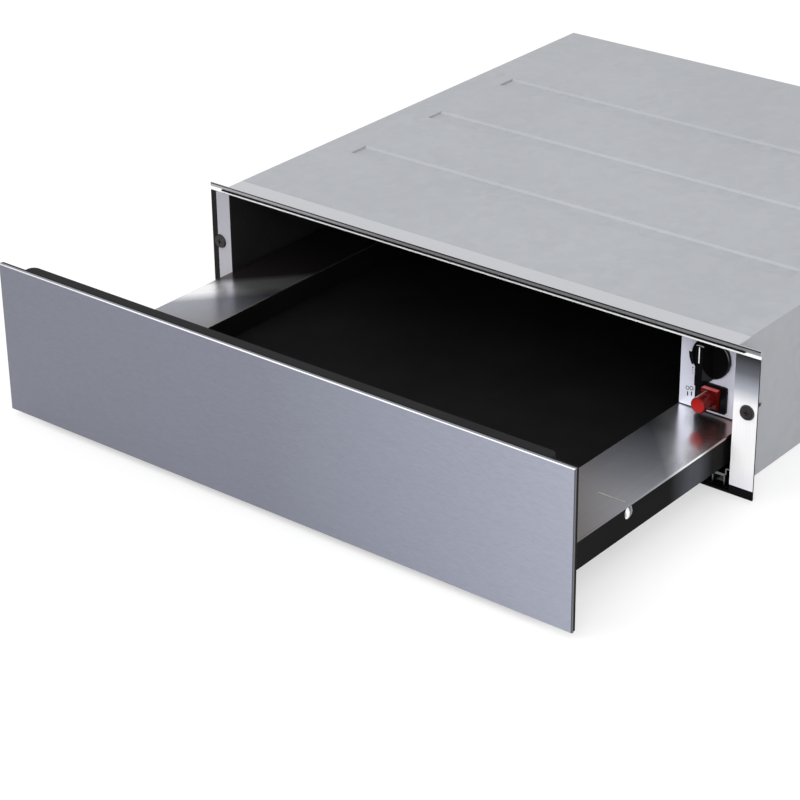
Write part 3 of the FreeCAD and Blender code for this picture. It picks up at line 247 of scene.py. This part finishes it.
def ledge_steel():
    """Brushed along the drawer, more mirror-like towards the frame, with painted reflections and
    shade along it; pale in its cross seam.
    """
    shade = Shade("ledge_steel", LEDGE_SHEEN[1][1], 0.9, 0.19)
    streaks = shade.mixed(shade.noise((1300.0, 45.0, 1300.0)),
                          shade.noise((230.0, 6.0, 230.0)), 0.6)
    outward = shade.maths("SUBTRACT", shade.maths("ABSOLUTE", shade.along("X")), LEDGE_MIDDLE)
    place = shade.maths("ADD", shade.along("Y"), shade.maths("MULTIPLY", outward, SHEEN_SLANT))
    sheet = shade.vary(streaks, 0.05, shade.ramp(place, LEDGE_SHEEN))
    # painted reddish reflection of the switch in the right corner, by the frame
    corner = shade.maths("MULTIPLY", shade.between(shade.along("X"), 0.0, SWITCH_REFLECTION_SHARE, SWITCH_REFLECTION_ACROSS),
                         shade.between(shade.along("Y"), 0.0, 1.0, SWITCH_REFLECTION_ALONG))
    sheet = shade.blend(corner, sheet, SWITCH_REFLECTION)
    sunk = shade.maths("LESS_THAN", shade.along("Z"), SEAM_BELOW)
    inboard = shade.maths("LESS_THAN", shade.maths("ABSOLUTE", shade.along("X")), SEAM_INSIDE)
    shade.join("Base Color", shade.blend(shade.maths("MULTIPLY", sunk, inboard), sheet, SEAM_PALE))
    shade.join("Metallic", shade.between(shade.along("Y"), 0.55, 0.95, MIRROR_ALONG))
    shade.join("Roughness", shade.between(streaks, 0.21, 0.25))
    shade.bump(streaks, 0.15, 0.00001)
    return shade


# zinc outside the housing, painted shade inside it
RUNNER_SHEEN = ((-0.004, (0.34, 0.345, 0.36)), (0.006, (0.07, 0.07, 0.073)))
# painted highlight on the sheared ends
RUNNER_END_HIGHLIGHT = (0.24, 0.24, 0.245)


def runner_steel():
    """Rolled runner, zinc coated; painted shade darkens it inside the housing, and its sheared ends
    carry a painted highlight.
    """
    shade = Shade("runner_steel", RUNNER_SHEEN[0][1], 1.0, 0.34)
    streaks = shade.mixed(shade.noise((900.0, 30.0, 900.0)), shade.noise((200.0, 6.0, 200.0)), 0.6)
    rolled = shade.vary(streaks, 0.06, shade.ramp(shade.along("Y"), RUNNER_SHEEN))
    shade.join("Base Color", shade.blend(shade.looks_along("Y"), rolled, RUNNER_END_HIGHLIGHT))
    shade.join("Roughness", shade.between(streaks, 0.30, 0.40))
    shade.bump(streaks, 0.15, 0.00001)
    return shade


# painted reflection and shade along Z: dark at the top, white lower down
FLANGE_RIGHT_SHEEN = (
    (0.004, (0.92, 0.91, 0.98)), (0.030, (0.99, 0.99, 1.0)), (0.084, (0.96, 0.96, 0.98)),
    (0.098, (0.40, 0.42, 0.48)), (0.112, (0.13, 0.137, 0.157)), (0.127, (0.024, 0.025, 0.027)))
# the left flange is painted darker, a painted shade
FLANGE_LEFT_SHEEN = ((0.004, (0.60, 0.59, 0.64)), (0.127, (0.41, 0.41, 0.455)))
# painted dark reflection along the left flange's outer edge
LEFT_DARK_REFLECTION_TO = -0.2868
LEFT_DARK_REFLECTION = (0.008, 0.006, 0.007)
FLANGE_END = (0.02, 0.02, 0.022)


def flange_steel(name, sheen, dark_reflection_to):
    """Satin strip steel, drawn along Z, with a painted reflection tone along Z. It is painted dark,
    a dark reflection, at X below the given limit, where one is given.
    """
    shade = Shade(name, sheen[0][1], 0.08, 0.5, Specular_IOR_Level=0.12)
    streaks = shade.noise((900.0, 900.0, 22.0))
    face = shade.vary(streaks, 0.02, shade.ramp(shade.along("Z"), sheen))
    if dark_reflection_to:
        # painted dark reflection at the outer edge
        outer = shade.maths("LESS_THAN", shade.along("X"), dark_reflection_to)
        face = shade.blend(outer, face, LEFT_DARK_REFLECTION)
    shade.join("Base Color", shade.blend(shade.looks_along("X"), face, FLANGE_END))
    shade.join("Roughness", shade.between(streaks, 0.45, 0.55))
    shade.bump(streaks, 0.1, 0.00001)
    return shade


ZINC = (0.40, 0.412, 0.435)
ZINC_METALLIC = 0.30
# painted shade on the walls' inner faces, inside the dark cavity
CAVITY_SHADE = (0.012, 0.011, 0.011)


def galvanised(name="galvanised", inward=0):
    """Zinc coat with a faint crystal spangle; painted shade, black, on the faces that look along
    inward in X.
    """
    shade = Shade(name, ZINC, ZINC_METALLIC, 0.65, Specular_IOR_Level=0.25)
    spangle = shade.cells(even(110.0))
    cloud = shade.noise(even(6.0), 3.0)
    grey = shade.node("ShaderNodeRGBToBW", inputs={0: spangle}).outputs[0]
    both = shade.mixed(grey, cloud, 0.45)
    coat = shade.vary(both, 0.05)
    if inward:
        towards = shade.maths("MULTIPLY", shade.along("X", "Normal"), inward)
        inner = shade.maths("GREATER_THAN", towards, 0.5)
        shade.join("Base Color", shade.blend(inner, coat, CAVITY_SHADE))
        shade.join("Metallic", shade.between(inner, ZINC_METALLIC, 0.0, (0.0, 1.0)))
    shade.join("Roughness", shade.between(grey, 0.60, 0.72, (0.2, 0.8)))
    shade.bump(shade.noise(even(900.0)), 0.12, 0.00002)
    return shade


def satin_steel(name, colour):
    """Pale satin strip with a faint lengthwise grain."""
    shade = Shade(name, colour, 0.0, 0.35)
    grain = shade.noise((20.0, 500.0, 500.0))
    shade.vary(grain, 0.01)
    shade.join("Roughness", shade.between(grain, 0.32, 0.40))
    return shade


# grey face, then painted shade along the upper edge where the fold bends
TRIM_SHADE_BANDS = ((0.1310, (0.42, 0.42, 0.44)), (0.1331, (0.40, 0.40, 0.42)),
              (0.1335, (0.03, 0.03, 0.034)), (0.1345, (0.03, 0.03, 0.034)))


def trim_steel():
    """Folded trim over the seal: grey face with painted shade along its upper edge, and a zinc top.
    """
    shade = Shade("trim_steel", (0.5, 0.51, 0.53), 0.6, 0.4)
    grain = shade.noise((30.0, 700.0, 700.0))
    face = shade.vary(grain, 0.03, shade.ramp(shade.along("Z"), TRIM_SHADE_BANDS))
    ahead = shade.maths("LESS_THAN", shade.along("Y", "Normal"), -0.5)
    shade.join("Base Color", shade.blend(ahead, shade.colour, face))
    return shade


def plain_metal(name, colour, roughness, metallic=1.0):
    """Turned or plated small metal with faint tool marks."""
    shade = Shade(name, colour, metallic, roughness)
    marks = shade.noise((700.0, 1800.0, 700.0))
    shade.vary(marks, 0.08)
    shade.join("Roughness", shade.between(marks, roughness * 0.8, roughness * 1.25))
    shade.bump(marks, 0.2, 0.00002)
    return shade


# painted reflection on the dome, by the normal's Y
CHROME_REFLECTION_BANDS = (
    (-1.0, (0.10, 0.10, 0.11)), (-0.58, (0.12, 0.12, 0.13)), (-0.44, (0.96, 0.96, 0.97)),
    (-0.22, (0.90, 0.91, 0.93)), (-0.10, (0.10, 0.10, 0.11)), (0.25, (0.26, 0.26, 0.28)),
    (1.0, (0.75, 0.76, 0.78)))


def chrome():
    """Chromed dome with a painted reflection: a bright band down the middle between darker flanks.
    """
    shade = Shade("chrome", (0.9, 0.9, 0.92), 1.0, 0.06)
    painted_light_bands = shade.ramp(shade.along("Y", "Normal"), CHROME_REFLECTION_BANDS)
    shade.vary(shade.noise(even(900.0)), 0.03, painted_light_bands)
    return shade


# ---- paints, rubbers and mouldings: painted light and shade bands give some colours, along Y or by the normal's Y ---
# painted reflection on the drawer's side: a soft lighter patch towards the frame
SIDE_SHEEN = (
    (-0.2445, (0.010, 0.009, 0.0095)), (-0.17, (0.004, 0.004, 0.004)),
    (-0.085, (0.003, 0.003, 0.003)), (-0.056, (0.075, 0.078, 0.090)),
    (-0.044, (0.072, 0.075, 0.086)), (-0.024, (0.005, 0.005, 0.005)))


def satin_black(name, colour=(0.006, 0.006, 0.0065), sheen=None):
    """Powder-coated sheet with a fine orange-peel skin; with a sheen given, a painted reflection
    tone along Y.
    """
    shade = Shade(name, colour, 0.0, 0.36, Specular_IOR_Level=0.022)
    skin = shade.noise(even(1100.0))
    cloud = shade.noise(even(14.0), 3.0)
    shade.vary(cloud, 0.20, shade.ramp(shade.along("Y"), sheen) if sheen else None)
    shade.join("Roughness", shade.between(cloud, 0.31, 0.42))
    shade.bump(skin, 0.3, 0.00003)
    return shade


def rubber(name, depth=0.0001):
    """Matt black rubber with a fine pebble."""
    shade = Shade(name, (0.005, 0.005, 0.0055), 0.0, 0.8, Specular_IOR_Level=0.08)
    pebble = shade.cells(even(1300.0), "Distance")
    shade.vary(shade.noise(even(18.0), 4.0), 0.25)
    shade.bump(pebble, 0.5, depth)
    return shade


def moulded(name, colour, roughness, depth=0.00002, **sockets):
    """Injection-moulded plastic: faint flow marks and a light skin."""
    shade = Shade(name, colour, 0.0, roughness, **sockets)
    flow = shade.noise(even(60.0), 3.0)
    shade.vary(flow, 0.06)
    shade.join("Roughness", shade.between(flow, roughness * 0.85, roughness * 1.2))
    shade.bump(shade.noise(even(1500.0)), 0.15, depth)
    return shade


def panel_steel():
    """Satin, pale lavender sheet behind the knob, with a very fine upright grain."""
    shade = Shade("panel_steel", (0.83, 0.85, 0.97), 0.10, 0.22)
    grain = shade.noise((1200.0, 1200.0, 60.0))
    shade.vary(grain, 0.02)
    shade.join("Roughness", shade.between(grain, 0.19, 0.26))
    shade.bump(grain, 0.1, 0.00001)
    return shade


GLINT_FROM = (-0.97, -0.85)               # the normal's Y at which the painted highlight on an edge starts
GLINT_TO = (-0.45, -0.25)                 # and ends
KNOB_GLINT = (0.20, 0.20, 0.21)
GRIP_FRONT = 0.0030                      # the grip's end has a painted highlight ahead of this in Y
GRIP_GLINT = (0.30, 0.30, 0.31)
POINTER_HALF = 0.00048                   # half the white line's width
POINTER_CARRIER = (0.01, 0.01, 0.01)


def knob_plastic():
    """Glossy black, with painted grey highlights along the skirt's upper right edge and at the
    grip's end.
    """
    shade = moulded("knob_black", (0.004, 0.004, 0.0045), 0.10, 0.00001, Specular_IOR_Level=0.06)
    ahead = shade.along("Y", "Normal")
    highlit_edge = shade.maths("MULTIPLY", shade.between(ahead, 0.0, 1.0, GLINT_FROM),
                       shade.between(ahead, 1.0, 0.0, GLINT_TO))
    upper = shade.between(shade.along("Z", "Normal"), 0.0, 1.0, (0.05, 0.30))
    right = shade.between(shade.along("X", "Normal"), 0.0, 1.0, (0.20, 0.45))
    glint = shade.between(shade.maths("MULTIPLY", upper, right), 0.12, 1.0, (0.0, 1.0))
    grip_end = shade.maths("MULTIPLY", shade.maths("GREATER_THAN", shade.along("Z", "Normal"), 0.8),
                           shade.maths("LESS_THAN", shade.along("Y"), GRIP_FRONT))
    edge = shade.blend(shade.maths("MULTIPLY", highlit_edge, glint), shade.colour, KNOB_GLINT)
    shade.join("Base Color", shade.blend(grip_end, edge, GRIP_GLINT))
    return shade


def pointer_plastic():
    """White line along the middle of its black carrier."""
    shade = moulded("pointer_white", (0.88, 0.88, 0.88), 0.35)
    off_middle = shade.maths("ABSOLUTE", shade.maths("SUBTRACT", shade.along("X"), DIAL_AT[0] * MM))
    edge = shade.maths("GREATER_THAN", off_middle, POINTER_HALF)
    shade.join("Base Color", shade.blend(edge, shade.colour, POINTER_CARRIER))
    return shade


# red face, then painted shade on the fillet and the flank
BUTTON_SHADE_BANDS = (
    (-1.0, (0.36, 0.007, 0.006)), (-0.97, (0.36, 0.007, 0.006)), (-0.80, (0.09, 0.003, 0.003)),
    (-0.20, (0.12, 0.005, 0.004)), (0.0, (0.12, 0.005, 0.004)))
BUTTON_GLINT = (0.70, 0.26, 0.25)


def button_plastic():
    """Red face, painted shade on the fillet and flank, and a painted highlight along its upper
    left.
    """
    shade = moulded("red_button", BUTTON_SHADE_BANDS[0][1], 0.16, 0.00001, Specular_IOR_Level=0.15)
    painted_light_bands = shade.ramp(shade.along("Y", "Normal"), BUTTON_SHADE_BANDS)
    leaning = shade.maths("ADD", shade.maths("MULTIPLY", shade.along("X", "Normal"), -0.55),
                          shade.maths("MULTIPLY", shade.along("Z", "Normal"), 0.84))
    glint = shade.between(leaning, 0.0, 1.0, (0.90, 0.985))
    shade.vary(shade.noise(even(60.0), 3.0), 0.06, shade.blend(glint, painted_light_bands, BUTTON_GLINT))
    return shade


LENS_SHADE_HEIGHTS = ((0.058, (0.050, 0.002, 0.002)), (0.069, (0.075, 0.003, 0.003)),
                (0.078, (0.115, 0.005, 0.005)))
LENS_GLINT = (0.50, 0.10, 0.10)


def lens_plastic():
    """Clear red, painted darker towards the bottom as shade, with a painted highlight on its upper
    bevel.
    """
    shade = moulded("red_lens", LENS_SHADE_HEIGHTS[1][1], 0.10, 0.00001, Specular_IOR_Level=0.22)
    # painted shade: darker towards the bottom
    depth = shade.ramp(shade.along("Z"), LENS_SHADE_HEIGHTS)
    upper = shade.between(shade.along("Z", "Normal"), 0.0, 1.0, (0.35, 0.60))
    ahead = shade.between(shade.along("Y", "Normal"), 1.0, 0.0, (-0.5, -0.3))
    bevel = shade.maths("MULTIPLY", upper, ahead)
    shade.vary(shade.noise(even(60.0), 3.0), 0.06, shade.blend(bevel, depth, LENS_GLINT))
    return shade


# Each material slot's finish, and the nodes that have one of their own.
FINISHES = {
    "brushed_front": front_steel(),
    "ledge_steel": ledge_steel(),
    "panel_steel": panel_steel(),
    "black_paint": satin_black("black_paint"),
    "black_plastic": moulded("black_plastic", (0.012, 0.012, 0.013), 0.5, Specular_IOR_Level=0.2),
    "galvanised": galvanised(),
    "runner_steel": runner_steel(),
    "mat_rubber": rubber("mat_rubber"),
    "seal_rubber": rubber("seal_rubber", 0.00003),
    "knob_black": knob_plastic(),
    "pointer_white": pointer_plastic(),
    "red_lens": lens_plastic(),
    "red_button": button_plastic(),
    "chrome": chrome(),
    "dark_screw": plain_metal("dark_screw", (0.055, 0.050, 0.050), 0.30),
    "zinc_screw": plain_metal("zinc_screw", (0.62, 0.63, 0.62), 0.28),
    "filler_board": moulded("filler_board", (0.30, 0.30, 0.28), 0.8),
    "terminal_plastic": moulded("terminal_plastic", (0.70, 0.68, 0.62), 0.45),
    "motor_steel": plain_metal("motor_steel", (0.30, 0.31, 0.32), 0.4),
    "fan_alloy": plain_metal("fan_alloy", (0.66, 0.67, 0.68), 0.33),
    "heater_rod": plain_metal("heater_rod", (0.14, 0.13, 0.125), 0.5),
}
OWN_FINISH = {
    "frame_flange_right": flange_steel("flange_right", FLANGE_RIGHT_SHEEN, None),
    "frame_flange_left": flange_steel("flange_left", FLANGE_LEFT_SHEEN, LEFT_DARK_REFLECTION_TO),
    "drawer_side_right": satin_black("drawer_side", sheen=SIDE_SHEEN),
    "inner_front": satin_black("inner_front_paint", (0.015, 0.0145, 0.016)),
    "side_wall_right": galvanised("side_wall_right", -1),
    "side_wall_left": galvanised("side_wall_left", 1),
    "front_top_bar": satin_steel("bar_steel", (0.98, 0.98, 0.99)),
    "top_trim": trim_steel(),
}

WELD_MM = 0.01
EASE_ANGLE = math.radians(35)            # sharper edges than this are eased
EASE_SEGMENTS = 2
# Width in mm to which each node's sharp edges are eased.
EASED = {
    "front_panel": 0.18, "front_backing": 0.3, "inner_front": 0.8,
    "ledge_right": 0.3, "ledge_left": 0.3, "drawer_side_right": 0.3, "drawer_side_left": 0.3,
    "front_top_bar": 0.3, "switch_bezel": 0.5, "switch_lens": 0.5, "front_sill": 0.3,
    "thermostat_knob": 0.35,
}


def dress_nodes():
    """Every CAD node gets its finish; the sheet edges that catch the light are eased."""
    slots = {row["node"]: row["material_slot"] for row in frame["record"]["subparts"]}
    for name, node in frame["nodes"].items():
        shade = OWN_FINISH.get(name) or FINISHES[slots[name]]
        node.data.materials.clear()
        node.data.materials.append(shade.material)
    for name, width in EASED.items():
        node = frame["nodes"][name]
        node.modifiers.new("weld", "WELD").merge_threshold = WELD_MM * MM
        bevel = node.modifiers.new("ease", "BEVEL")
        bevel.width = width * MM
        bevel.segments = EASE_SEGMENTS
        bevel.limit_method = "ANGLE"
        bevel.angle_limit = EASE_ANGLE
        bevel.harden_normals = True


# ---- printed marks on the control panel, in mm --------------------------------------------------
PANEL_FACE = 22.5
PRINT_T = 0.08                           # how far a mark stands before and behind that face
WEDGE_RADII = (19.4, 22.9)
WEDGE_ANGLES = (182, 212)
WEDGE_STEPS = 10
DIAL_DOTS = ((216.9, 88.6, 0.55), (216.6, 86.0, 0.35), (217.1, 83.8, 0.35))     # X, Z and radius
DOT_CORNERS = 12
OFF_RINGS = ((212.6, 68.8), (216.5, 69.6))
RING_RADII = (1.25, 1.8)
RING_QUARTER_STEPS = 6
ON_BARS = ((212.95, 63.7), (216.7, 64.6))
BAR_SIZE = (1.0, 3.9)


def print_patch(mesh, outline):
    """One flat mark, from its outline as (X, Z)."""
    front = [mesh.verts.new((x * MM, (PANEL_FACE - PRINT_T) * MM, z * MM)) for x, z in outline]
    back = [mesh.verts.new((x * MM, (PANEL_FACE + PRINT_T) * MM, z * MM)) for x, z in outline]
    mesh.faces.new(front)
    mesh.faces.new(back[::-1])
    count = len(outline)
    for i in range(count):
        j = (i + 1) % count
        mesh.faces.new((front[i], back[i], back[j], front[j]))


def arc(centre, radius, start, end, steps):
    """Points from start to end, in degrees."""
    turns = [math.radians(start + (end - start) * i / steps) for i in range(steps + 1)]
    return [(centre[0] + radius * math.cos(t), centre[1] + radius * math.sin(t)) for t in turns]


def ring_part(centre, radii, ends, steps):
    """Outline of a ring's part between two angles."""
    inner, outer = radii
    return arc(centre, outer, *ends, steps) + arc(centre, inner, *ends[::-1], steps)


def make_marks():
    """A wedge and dots by the dial, and a ring and a bar for each state of the switch."""
    mesh = bmesh.new()
    print_patch(mesh, ring_part(DIAL_AT, WEDGE_RADII, WEDGE_ANGLES, WEDGE_STEPS))
    for x, z, radius in DIAL_DOTS:
        print_patch(mesh, arc((x, z), radius, 0, 360 - 360 / DOT_CORNERS, DOT_CORNERS - 1))
    for centre in OFF_RINGS:
        for start in range(0, 360, 90):
            ends = (start, start + 90)
            print_patch(mesh, ring_part(centre, RING_RADII, ends, RING_QUARTER_STEPS))
    for x, z in ON_BARS:
        half, tall = BAR_SIZE[0] / 2, BAR_SIZE[1] / 2
        corners = ((-half, -tall), (half, -tall), (half, tall), (-half, tall))
        print_patch(mesh, [(x + across, z + up) for across, up in corners])
    bmesh.ops.recalc_face_normals(mesh, faces=mesh.faces)
    add_piece("panel_marks", mesh, "housing", "black_paint")


def add_piece(name, mesh, body, slot):
    data = bpy.data.meshes.new(name)
    mesh.to_mesh(data)
    mesh.free()
    piece = bpy.data.objects.new(name, data)
    bpy.context.scene.collection.objects.link(piece)
    data.materials.append(FINISHES[slot].material)
    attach(piece, body)
    return piece


# ---- stage ------------------------------------------------------------------------------------
def seen_directly(tree):
    """1 for camera, glossy and transmission rays, which see the white surroundings."""
    path = tree.nodes.new("ShaderNodeLightPath")
    total = path.outputs["Is Camera Ray"]
    for output in ("Is Glossy Ray", "Is Transmission Ray"):
        add = tree.nodes.new("ShaderNodeMath")
        add.operation = "MAXIMUM"
        tree.links.new(total, add.inputs[0])
        tree.links.new(path.outputs[output], add.inputs[1])
        total = add.outputs[0]
    return total


def make_world():
    """White where it is seen, and a little dimmer as a light."""
    world = bpy.data.worlds.new("studio")
    bpy.context.scene.world = world
    world.use_nodes = True
    tree = world.node_tree
    background = tree.nodes["Background"]
    background.inputs["Color"].default_value = (1, 1, 1, 1)
    level = tree.nodes.new("ShaderNodeMapRange")
    level.inputs["To Min"].default_value = WORLD_LEVEL
    level.inputs["To Max"].default_value = 1.0
    tree.links.new(seen_directly(tree), level.inputs["Value"])
    tree.links.new(level.outputs["Result"], background.inputs["Strength"])


def make_floor():
    """Pale and matt; glows a little where it is seen directly, so that it runs into the white."""
    bpy.ops.mesh.primitive_plane_add(size=FLOOR_SIZE, location=(0, 0, FLOOR_Z))
    floor = bpy.context.object
    floor.name = "floor"
    material = bpy.data.materials.new("floor_white")
    material.use_nodes = True
    tree = material.node_tree
    shader = tree.nodes["Principled BSDF"]
    shader.inputs["Base Color"].default_value = (FLOOR_COLOUR, FLOOR_COLOUR, FLOOR_COLOUR, 1)
    shader.inputs["Roughness"].default_value = 1.0
    shader.inputs["Specular IOR Level"].default_value = 0.0
    shader.inputs["Emission Color"].default_value = (1, 1, 1, 1)
    level = tree.nodes.new("ShaderNodeMath")
    level.operation = "MULTIPLY"
    level.inputs[1].default_value = FLOOR_GLOW
    tree.links.new(seen_directly(tree), level.inputs[0])
    tree.links.new(level.outputs[0], shader.inputs["Emission Strength"])
    floor.data.materials.append(material)


def area_lamp(name, at, size, power):
    """A soft lamp that looks at the origin."""
    data = bpy.data.lights.new(name, "AREA")
    data.shape = "RECTANGLE"
    data.size, data.size_y = size
    data.energy = power
    lamp = bpy.data.objects.new(name, data)
    bpy.context.scene.collection.objects.link(lamp)
    lamp.location = at
    lamp.rotation_mode = "QUATERNION"
    lamp.rotation_quaternion = (-Vector(at)).to_track_quat("-Z", "Y")


def make_camera():
    data = bpy.data.cameras.new("camera")
    data.sensor_width = SENSOR_MM
    data.lens = FOCAL_PIXELS / PHOTO_PIXELS * SENSOR_MM
    camera = bpy.data.objects.new("camera", data)
    bpy.context.scene.collection.objects.link(camera)
    ahead = Vector((-math.sin(CAMERA_YAW) * math.cos(CAMERA_PITCH),
                    math.cos(CAMERA_YAW) * math.cos(CAMERA_PITCH), -math.sin(CAMERA_PITCH)))
    level_right = Vector((math.cos(CAMERA_YAW), math.sin(CAMERA_YAW), 0))
    level_up = level_right.cross(ahead)
    right = level_right * math.cos(CAMERA_ROLL) + level_up * math.sin(CAMERA_ROLL)
    up = level_up * math.cos(CAMERA_ROLL) - level_right * math.sin(CAMERA_ROLL)
    turn = Matrix((right, up, -ahead)).transposed()
    camera.matrix_world = Matrix.Translation(CAMERA_AT) @ turn.to_4x4()
    bpy.context.scene.camera = camera


make_world()
make_floor()
for lamp_settings in LAMPS:
    area_lamp(*lamp_settings)
make_camera()
dress_nodes()
make_marks()

bpy.context.scene.view_settings.view_transform = "Standard"
